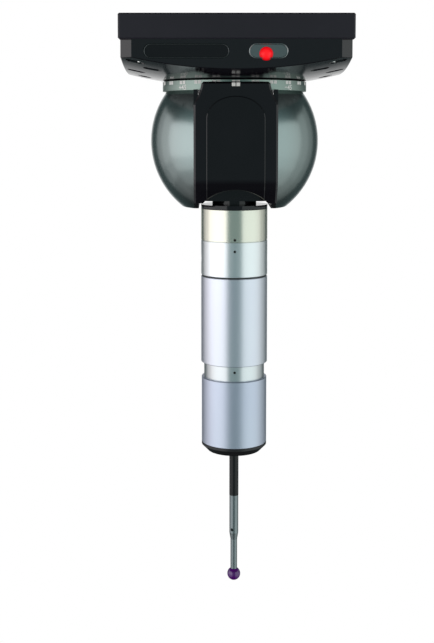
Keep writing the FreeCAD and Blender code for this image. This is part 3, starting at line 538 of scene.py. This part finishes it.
class HEAD_OT_slot_screws(bpy.types.Operator):
    """Levelling screws seen in the key slots under the corners"""
    bl_idname = "head.slot_screws"
    bl_label = "Slot Screws"

    def execute(self, context):
        edge = PLATE_HIGH.x - 0.5 * MM      # half the housing's width
        length = 10.0 * MM
        # how far each slot's screw is from that edge in X and in Y, and the height of its tip
        slots = ((6.8 * MM, 4.5 * MM, -16.3 * MM), (6.1 * MM, 19.5 * MM, -18.5 * MM))
        work = bmesh.new()
        down = Matrix.Rotation(math.pi, 4, "X")
        disc_prism(work, 1.12 * MM, length, down, 24, 0.6 * MM)
        base = mesh_from("slot_screw", work)
        places = []
        for in_x, in_y, tip in slots:
            for sx in (-1, 1):
                for sy in (-1, 1):
                    place = (sx * (edge - in_x), sy * (edge - in_y), tip + length)
                    places.append((place, 0.3 * sx + 0.2 * sy))
        grown("slot_screws", base, places, plain_steel("bright screw", (0.78, 0.78, 0.76), 0.2),
              "root")
        return {"FINISHED"}


def pill_outline(width, height, steps=14):
    """Points round a slot shape, in order."""
    r, reach = height / 2, width / 2 - height / 2
    right = [(reach + r * math.sin(math.pi * n / steps), r * math.cos(math.pi * n / steps))
             for n in range(steps + 1)]
    left = [(-reach - r * math.sin(math.pi * n / steps), -r * math.cos(math.pi * n / steps))
            for n in range(steps + 1)]
    return right + left


class HEAD_OT_recess_rims(bpy.types.Operator):
    """Fine raised rims round the bare badge and round the lamp's cup"""
    bl_idname = "head.recess_rims"
    bl_label = "Recess Rims"

    def execute(self, context):
        # piece, what it goes round, its width and its reach forward in millimetres, its finish
        rims = (("badge_rim", "badge_plate", 0.34, 0.16,
                 ("dark plated rim", (0.16, 0.165, 0.17), 0.3)),
                ("lamp_rim", "led_bezel", 0.42, 0.22,
                 ("grey plated rim", (0.42, 0.44, 0.44), 0.2)))
        for name, carrier, width, forward, finish in rims:
            low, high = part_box(carrier)
            middle = (low + high) / 2
            work = bmesh.new()
            # section from its outer edge inwards: share of the width, and millimetres ahead
            section = ((0.0, 0.0), (0.25, -forward), (0.6, -0.8 * forward), (1.0, 0.0))
            rows = []
            for inset, ahead in section:
                inset *= width
                outline = pill_outline(high.x - low.x - 2 * inset * MM,
                                       high.z - low.z - 2 * inset * MM)
                rows.append([work.verts.new((middle.x + x, low.y + ahead * MM, middle.z + z))
                             for x, z in outline])
            count = len(rows[0])
            for one, two in zip(rows, rows[1:] + rows[:1]):
                for n in range(count):
                    work.faces.new((one[n], one[(n + 1) % count], two[(n + 1) % count], two[n]))
            adopt(name, mesh_from(name, work), plain_steel(*finish), "root",
                  smooth=True)
        return {"FINISHED"}


class HEAD_OT_lamp(bpy.types.Operator):
    """Red lamp and its bright cup"""
    bl_idname = "head.lamp"
    bl_label = "Status Lamp"

    def execute(self, context):
        dress(lamp_lens(context.scene.probe.lamp), "status_led")
        dress(turned_metal("dark plated lamp cup", (0.3, 0.31, 0.31), 0.16, 2500.0, 0.05), "led_bezel")
        return {"FINISHED"}


# ------------------------------------------------------------------ yoke
class HEAD_OT_yoke(bpy.types.Operator):
    """Finish the spine, the ball's shells and the fork"""
    bl_idname = "head.yoke"
    bl_label = "Yoke"

    def execute(self, context):
        head = context.scene.head
        dress(polished_shell(head.shell_black), "left_cheek", "right_cheek")
        dress(black_enamel(head.black, "spine enamel", 0.11, 0.08), "spine_cover")
        dress(black_enamel([c * 0.8 for c in head.black], "arched panel enamel", 0.09, 0.05),
              "spine_panel")
        dress(scale_metal(head.band), "scale_ring")
        dress(blasted_metal("dark anodised fork", (0.06, 0.06, 0.065), 0.4, (0.045, 0.045, 0.05)),
              "fork_walls", "turntable")
        dress(plain_steel("countersunk steel", (0.3, 0.3, 0.31), 0.32), "cheek_screws", "fork_tie")
        return {"FINISHED"}


def band_patch(work, from_angle, to_angle, low, high, relief):
    """Thin painted patch on the band, its angle counted from the front towards +X."""
    longest = 0.02                  # radians of the band that one flat face may span
    steps = max(2, int(abs(to_angle - from_angle) / longest))
    inner, outer = RING_HIGH.x - SUNK, RING_HIGH.x + relief
    grid = []
    for n in range(steps + 1):
        angle = from_angle + (to_angle - from_angle) * n / steps
        ahead = Vector((math.sin(angle), -math.cos(angle), 0))
        grid.append([work.verts.new(ahead * r + Vector((0, 0, z)))
                     for r, z in ((inner, low), (outer, low), (outer, high), (inner, high))])
    for one, two in zip(grid, grid[1:]):
        for n in range(4):
            work.faces.new((one[n], one[(n + 1) % 4], two[(n + 1) % 4], two[n]))
    work.faces.new(grid[0])
    work.faces.new(list(reversed(grid[-1])))


class HEAD_OT_band_marks(bpy.types.Operator):
    """Paired white marks round the top of the graduated band"""
    bl_idname = "head.band_marks"
    bl_label = "Band Marks"

    def execute(self, context):
        head = context.scene.head
        radius = RING_HIGH.x
        work = bmesh.new()
        high, low = RING_HIGH.z - 0.15 * MM, RING_HIGH.z - 1.3 * MM
        gap, reach = 0.14 * MM, 1.4 * MM    # inner and outer ends of the pair, from its middle
        open_back = 34                      # degrees each side of the back that have no marks
        for start, end in ((-reach, -gap), (gap, reach)):
            band_patch(work, start / radius, end / radius, low, high, head.mark_relief)
        base = mesh_from("band_mark", work)
        places = []
        for step in range(0, 360, head.tick_step):
            if abs(step - 180) > open_back:
                places.append(((0, 0, 0), math.radians(step)))
        grown("band_marks", base, places, marks_paint(), "yoke")
        return {"FINISHED"}


class HEAD_OT_index_mark(bpy.types.Operator):
    """Paired white index mark at the top of the spine, under the band's zero"""
    bl_idname = "head.index_mark"
    bl_label = "Index Mark"

    def execute(self, context):
        width, thickness, height = 1.3 * MM, 0.06 * MM, 1.25 * MM
        apart = 0.8 * MM
        middle = SPINE_HIGH.z - 0.35 * MM - 0.62 * MM
        work = bmesh.new()
        for side in (-1, 1):
            size = Matrix.Diagonal((width, thickness, height, 1))
            place = Matrix.Translation((side * apart, SPINE_LOW.y, middle))
            bmesh.ops.create_cube(work, size=1.0, matrix=place @ size)
        adopt("index_mark", mesh_from("index_mark", work), marks_paint(), "yoke")
        return {"FINISHED"}


def bent_text(words, height, angle, base_height, relief):
    """Plain numerals wrapped on the band, as loose faces."""
    cap_height = 0.70               # of the font's numerals at a size of 1
    curve = bpy.data.curves.new("numeral", "FONT")
    curve.body = words
    curve.size = 1.0
    curve.align_x = "CENTER"
    curve.extrude = 0.5
    curve.resolution_u = 3
    curve.offset = 0.02
    carrier = bpy.data.objects.new("numeral", curve)
    bpy.context.scene.collection.objects.link(carrier)
    bpy.context.view_layer.update()
    graph = bpy.context.evaluated_depsgraph_get()
    mesh = bpy.data.meshes.new_from_object(carrier.evaluated_get(graph))
    bpy.data.objects.remove(carrier)
    scale = height / cap_height
    radius = RING_HIGH.x
    for vertex in mesh.vertices:
        x, y, z = vertex.co
        turn = angle + x * scale / radius
        r = radius + (relief if z > 0 else -SUNK)
        vertex.co = (r * math.sin(turn), -r * math.cos(turn), base_height + y * scale)
    return mesh


class HEAD_OT_band_numerals(bpy.types.Operator):
    """Plain angles painted on the lower step of the graduated band"""
    bl_idname = "head.band_numerals"
    bl_label = "Band Numerals"

    def execute(self, context):
        head = context.scene.head
        foot = RING_LOW.z + 0.14 * MM
        work = bmesh.new()
        for degrees in (-135, -90, -45, 45, 90, 135):
            words = f"{-degrees:+d}".replace("-", "−")
            mesh = bent_text(words, head.numeral_height, math.radians(degrees),
                             foot, head.mark_relief)
            work.from_mesh(mesh)
            bpy.data.meshes.remove(mesh)
        adopt("band_numerals", mesh_from("band_numerals", work), marks_paint(), "yoke")
        return {"FINISHED"}


# ------------------------------------------------------------------ arm and probe
class HEAD_OT_arm(bpy.types.Operator):
    """Finish the arm casting, its cover and the coupling"""
    bl_idname = "head.arm"
    bl_label = "Tilting Arm"

    def execute(self, context):
        head = context.scene.head
        dress(black_enamel(head.black, "arm enamel", 0.2, 0.15), "arm_frame", "arm_cover")
        dress(black_enamel([c * 1.1 for c in head.black], "coupling black", 0.12, 0.03),
              "joint_flange")
        dress(plain_steel("small cover screw", (0.35, 0.35, 0.36), 0.3),
              "arm_cover_screws", "draw_hook", "lock_cam")
        return {"FINISHED"}


class HEAD_OT_probe(bpy.types.Operator):
    """Finish the probe's rings, sleeve, seals and module"""
    bl_idname = "head.probe"
    bl_label = "Probe"

    def execute(self, context):
        probe = context.scene.probe
        dress(turned_metal("warm satin nickel", probe.nickel, 0.24, 5200.0, 0.18,
                           [c * 0.94 for c in probe.nickel]), "adapter_ring")
        dress(turned_metal("silver white collar", probe.collar, 0.3, 5600.0, 0.15),
              "probe_collar")
        red, green, blue = probe.sleeve
        dress(blasted_metal("satin silver sleeve", probe.sleeve, 0.33,
                            (red * 0.96, green * 0.92, blue)), "probe_body")
        dress(turned_metal("bright module neck", (0.78, 0.8, 0.82), 0.28, 5000.0, 0.12), "module_neck")
        red, green, blue = probe.module
        dress(blasted_metal("satin blue silver module", probe.module, 0.4,
                            (red * 0.97, green * 0.93, blue)), "module_body")
        dress(moulded("satin black end ring", (0.006, 0.006, 0.007), 0.35, 3000.0, 0.12),
              "module_cap")
        dress(moulded("black seal", (0.01, 0.01, 0.01), 0.55), "collar_seal", "dust_seal")
        return {"FINISHED"}


class HEAD_OT_alignment_dots(bpy.types.Operator):
    """Black discs at the bottom of the alignment dimples on the rings, darkening them"""
    bl_idname = "head.alignment_dots"
    bl_label = "Alignment Dots"

    def execute(self, context):
        work = bmesh.new()
        disc_prism(work, 0.47 * MM, 0.25 * MM, Matrix.Rotation(math.pi / 2, 4, "X"), 20)
        base = mesh_from("dot", work)
        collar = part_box("probe_collar")
        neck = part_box("module_neck")
        hole_depth = 0.5 * MM
        # height of each dot from the top edge of its ring; the first is above the collar
        heights = ((collar, 0.9 * MM), (collar, -3.4 * MM), (neck, -2.2 * MM))
        places = [((0, low.y + hole_depth, high.z + rise), 0.0) for (low, high), rise in heights]
        # black discs at the foot of each dimple make the dots read dark
        grown("alignment_dots", base, places,
              moulded("black dimple floor", (0.006, 0.006, 0.006), 0.5), "arm")
        return {"FINISHED"}


class HEAD_OT_stylus(bpy.types.Operator):
    """Finish the stylus: carbon holder, steel stem and ruby"""
    bl_idname = "head.stylus"
    bl_label = "Stylus"

    def execute(self, context):
        dress(woven_carbon((0.0045, 0.005, 0.0055)), "stylus_holder")
        dress(turned_metal("stainless stem", (0.27, 0.3, 0.31), 0.3, 4200.0, 0.08,
                           (0.22, 0.25, 0.26)), "stylus_stem", "stylus_carrier")
        dress(synthetic_ruby(context.scene.probe.ruby), "stylus_ball")
        return {"FINISHED"}


class HEAD_OT_inside(bpy.types.Operator):
    """Finish the gears, bearings, motors and boards inside"""
    bl_idname = "head.inside"
    bl_label = "Inside"

    def execute(self, context):
        dress(plain_steel("hobbed gear steel", (0.45, 0.44, 0.42), 0.34),
              "b_gear", "b_pinion", "a_gear", "a_pinion")
        dress(turned_metal("ground bearing steel", (0.75, 0.75, 0.76), 0.1, 3000.0, 0.04),
              "b_bearing_outer", "b_bearing_inner", "b_bearing_balls", "coupling_balls")
        dress(plain_steel("plated motor can", (0.62, 0.62, 0.64), 0.24), "a_motor", "b_motor")
        dress(turned_metal("sintered bronze", (0.6, 0.4, 0.2), 0.36, 2200.0, 0.2), "a_bushes")
        dress(plain_steel("shaft steel", (0.55, 0.55, 0.56), 0.25),
              "a_axle", "axle_nut", "spindle_nut")
        dress(circuit_board(), "control_board", "arm_board")
        dress(moulded("optics carrier", (0.02, 0.02, 0.022), 0.45), "sensor_block")
        dress(turned_metal("plated magnet", (0.7, 0.7, 0.72), 0.15, 2400.0, 0.04),
              "coupling_magnets")
        dress(plain_steel("spring steel", (0.58, 0.58, 0.6), 0.28),
              "gimbal_ring", "gimbal_hub", "spring_clamp")
        window = Finish("clear window", (0.85, 0.93, 0.95), 0.03, 0.0,
                        Transmission_Weight=0.9, IOR=1.5)
        window.set("Roughness", 0.02 + window.noise(900, 2.0) * 0.03)
        dress(window, "sensor_window")
        dress(turned_metal("first-surface mirror", (0.9, 0.91, 0.92), 0.04, 2400.0, 0.01), "mirror")
        return {"FINISHED"}


# ------------------------------------------------------------------ studio
WALL_AWAY = 0.8                     # from the head's vertical axis, metres
# columns of one wall: degrees round from the front, degrees that it spans, share of the light
WALL_COLUMNS = ((63, 74, 1.0), (109, 18, 0.6), (125, 14, 0.35))
# rows from the top down: lower and upper edge from the tilt axis, metres
WALL_ROWS = ((-0.25, 0.3), (-0.5, -0.25), (-0.95, -0.5), (-1.6, -0.95))
# the room as gloss sees it, from 0 in front of the head to 1 behind it
DIM_UNTIL, DARK_FROM, DARK_UNTIL, WHITE_FROM = 0.35, 0.6, 0.945, 1.0
DARK_SHARE = 0.3                    # of the dim colour, between the two dark places
# it also fades from the horizon up and down
ROOM_FADE = (("From Min", 0.4), ("From Max", 0.75), ("To Min", 1.0), ("To Max", 0.2))
CAMERA_SHIFT = (0.0045, -0.18)      # shares of the picture
CAMERA_ASIDE = -0.0076              # from the head's vertical axis, metres
CAMERA_RISE = 0.006                 # above the tilt axis, metres
CAMERA_DIP = 4.3                    # degrees below the horizon


def panel_light(name, power, width, height, place, colour):
    """Soft upright light that faces the head; power is its own brightness, whatever its size."""
    lamp = bpy.data.lights.new(name, "AREA")
    lamp.shape = "RECTANGLE"
    lamp.size, lamp.size_y = width, height
    lamp.energy = power * math.pi * width * height
    lamp.color = colour
    holder = bpy.data.objects.new(name, lamp)
    holder.location = place
    holder.rotation_euler = Vector((-place.x, -place.y, 0)).to_track_quat("-Z", "Y").to_euler()
    holder.visible_camera = False
    bpy.context.scene.collection.objects.link(holder)


def light_wall(name, side, power, colour, fade):
    """Tall soft wall beside the head, dimmer towards its foot and its far end."""
    for turn, spread, share in WALL_COLUMNS:
        width = 2 * WALL_AWAY * math.tan(math.radians(spread / 2))
        angle = math.radians(turn)
        for (low, high), strength in zip(WALL_ROWS, fade):
            place = Vector((side * WALL_AWAY * math.sin(angle), -WALL_AWAY * math.cos(angle),
                            AXIS_HEIGHT + (low + high) / 2))
            panel_light(name + " panel", power * share * strength, width, high - low, place,
                        colour)


class HEAD_OT_studio(bpy.types.Operator):
    """Room, a wall of lamps on each side, and the camera"""
    bl_idname = "head.studio"
    bl_label = "Studio"

    def execute(self, context):
        scene = context.scene
        studio = scene.studio
        scene.view_settings.view_transform = "Standard"
        light_wall("left", -1, studio.left_light, (1.0, 0.96, 0.97), (1.0, 0.68, 0.36, 0.14))
        light_wall("right", 1, studio.right_light, (0.96, 1.0, 0.98), (1.0, 0.9, 0.75, 0.4))
        self.room(scene, studio)
        self.camera(scene, studio)
        return {"FINISHED"}

    def room(self, scene, studio):
        """White to the camera and through glass, dim to gloss, plain grey to what is matt."""
        world = bpy.data.worlds.new("room")
        scene.world = world
        world.use_nodes = True
        tree = world.node_tree
        tree.nodes.clear()
        out = tree.nodes.new("ShaderNodeOutputWorld")
        path = tree.nodes.new("ShaderNodeLightPath")
        matt, white, seen = (tree.nodes.new("ShaderNodeBackground") for _ in range(3))
        for each in (matt, white):
            each.inputs["Color"].default_value = (1, 1, 1, 1)
        matt.inputs["Strength"].default_value = studio.sky
        where = tree.nodes.new("ShaderNodeTexCoord")
        parts = tree.nodes.new("ShaderNodeSeparateXYZ")
        depth = tree.nodes.new("ShaderNodeMapRange")
        depth.inputs["From Min"].default_value = -1.0
        shade = tree.nodes.new("ShaderNodeValToRGB")
        stops = shade.color_ramp.elements
        stops[0].position, stops[0].color = DIM_UNTIL, (*studio.dim_room, 1)
        stops[1].position, stops[1].color = WHITE_FROM, (1, 1, 1, 1)
        for position in (DARK_FROM, DARK_UNTIL):
            stops.new(position).color = (*[c * DARK_SHARE for c in studio.dim_room], 1)
        height = tree.nodes.new("ShaderNodeMath")
        height.operation = "ABSOLUTE"
        level = tree.nodes.new("ShaderNodeMapRange")
        for name, value in ROOM_FADE:
            level.inputs[name].default_value = value
        sight = tree.nodes.new("ShaderNodeMath")
        sight.operation = "MAXIMUM"
        pick_gloss = tree.nodes.new("ShaderNodeMixShader")
        pick_white = tree.nodes.new("ShaderNodeMixShader")
        link = tree.links.new
        link(where.outputs["Generated"], parts.inputs["Vector"])
        link(parts.outputs["Y"], depth.inputs["Value"])
        link(depth.outputs["Result"], shade.inputs["Fac"])
        link(shade.outputs["Color"], seen.inputs["Color"])
        link(parts.outputs["Z"], height.inputs[0])
        link(height.outputs[0], level.inputs["Value"])
        link(level.outputs["Result"], seen.inputs["Strength"])
        link(path.outputs["Is Glossy Ray"], pick_gloss.inputs[0])
        link(matt.outputs[0], pick_gloss.inputs[1])
        link(seen.outputs[0], pick_gloss.inputs[2])
        link(path.outputs["Is Camera Ray"], sight.inputs[0])
        link(path.outputs["Is Transmission Ray"], sight.inputs[1])
        link(sight.outputs[0], pick_white.inputs[0])
        link(pick_gloss.outputs[0], pick_white.inputs[1])
        link(white.outputs[0], pick_white.inputs[2])
        link(pick_white.outputs[0], out.inputs["Surface"])

    def camera(self, scene, studio):
        """Camera a little to the left of the head, looking slightly down."""
        data = bpy.data.cameras.new("camera")
        data.sensor_width = 36
        data.lens = studio.lens
        data.clip_start, data.clip_end = 0.01, 20
        data.shift_x, data.shift_y = CAMERA_SHIFT
        camera = bpy.data.objects.new("camera", data)
        camera.location = (CAMERA_ASIDE, -studio.distance, AXIS_HEIGHT + CAMERA_RISE)
        camera.rotation_euler = (math.radians(90 - CAMERA_DIP), 0, 0)
        scene.collection.objects.link(camera)
        scene.camera = camera


# ------------------------------------------------------------------ add-on
STEPS = (
    HEAD_OT_fixed_top, HEAD_OT_slot_screws, HEAD_OT_recess_rims, HEAD_OT_lamp, HEAD_OT_yoke,
    HEAD_OT_band_marks, HEAD_OT_band_numerals, HEAD_OT_index_mark, HEAD_OT_arm, HEAD_OT_probe,
    HEAD_OT_alignment_dots, HEAD_OT_stylus, HEAD_OT_inside, HEAD_OT_studio,
)


class HEAD_PT_panel(bpy.types.Panel):
    """Every step of the finish, in order, and the settings behind them"""
    bl_idname = "HEAD_PT_panel"
    bl_label = "Probe Head"
    bl_space_type = "VIEW_3D"
    bl_region_type = "UI"
    bl_category = "Probe Head"

    def draw(self, context):
        for step in STEPS:
            self.layout.operator(step.bl_idname)
        for group in (context.scene.head, context.scene.probe, context.scene.studio):
            box = self.layout.box()
            for name in group.__annotations__:
                box.prop(group, name)


CLASSES = (HeadSettings, ProbeSettings, StudioSettings) + STEPS + (HEAD_PT_panel,)


def register():
    for each in CLASSES:
        bpy.utils.register_class(each)
    bpy.types.Scene.head = bpy.props.PointerProperty(type=HeadSettings)
    bpy.types.Scene.probe = bpy.props.PointerProperty(type=ProbeSettings)
    bpy.types.Scene.studio = bpy.props.PointerProperty(type=StudioSettings)


def unregister():
    for name in ("head", "probe", "studio"):
        delattr(bpy.types.Scene, name)
    for each in reversed(CLASSES):
        bpy.utils.unregister_class(each)


def main():
    """Register the add-on and run every step in order."""
    register()
    for step in STEPS:
        group, name = step.bl_idname.split(".")
        getattr(getattr(bpy.ops, group), name)()


if __name__ == "__main__":
    main()
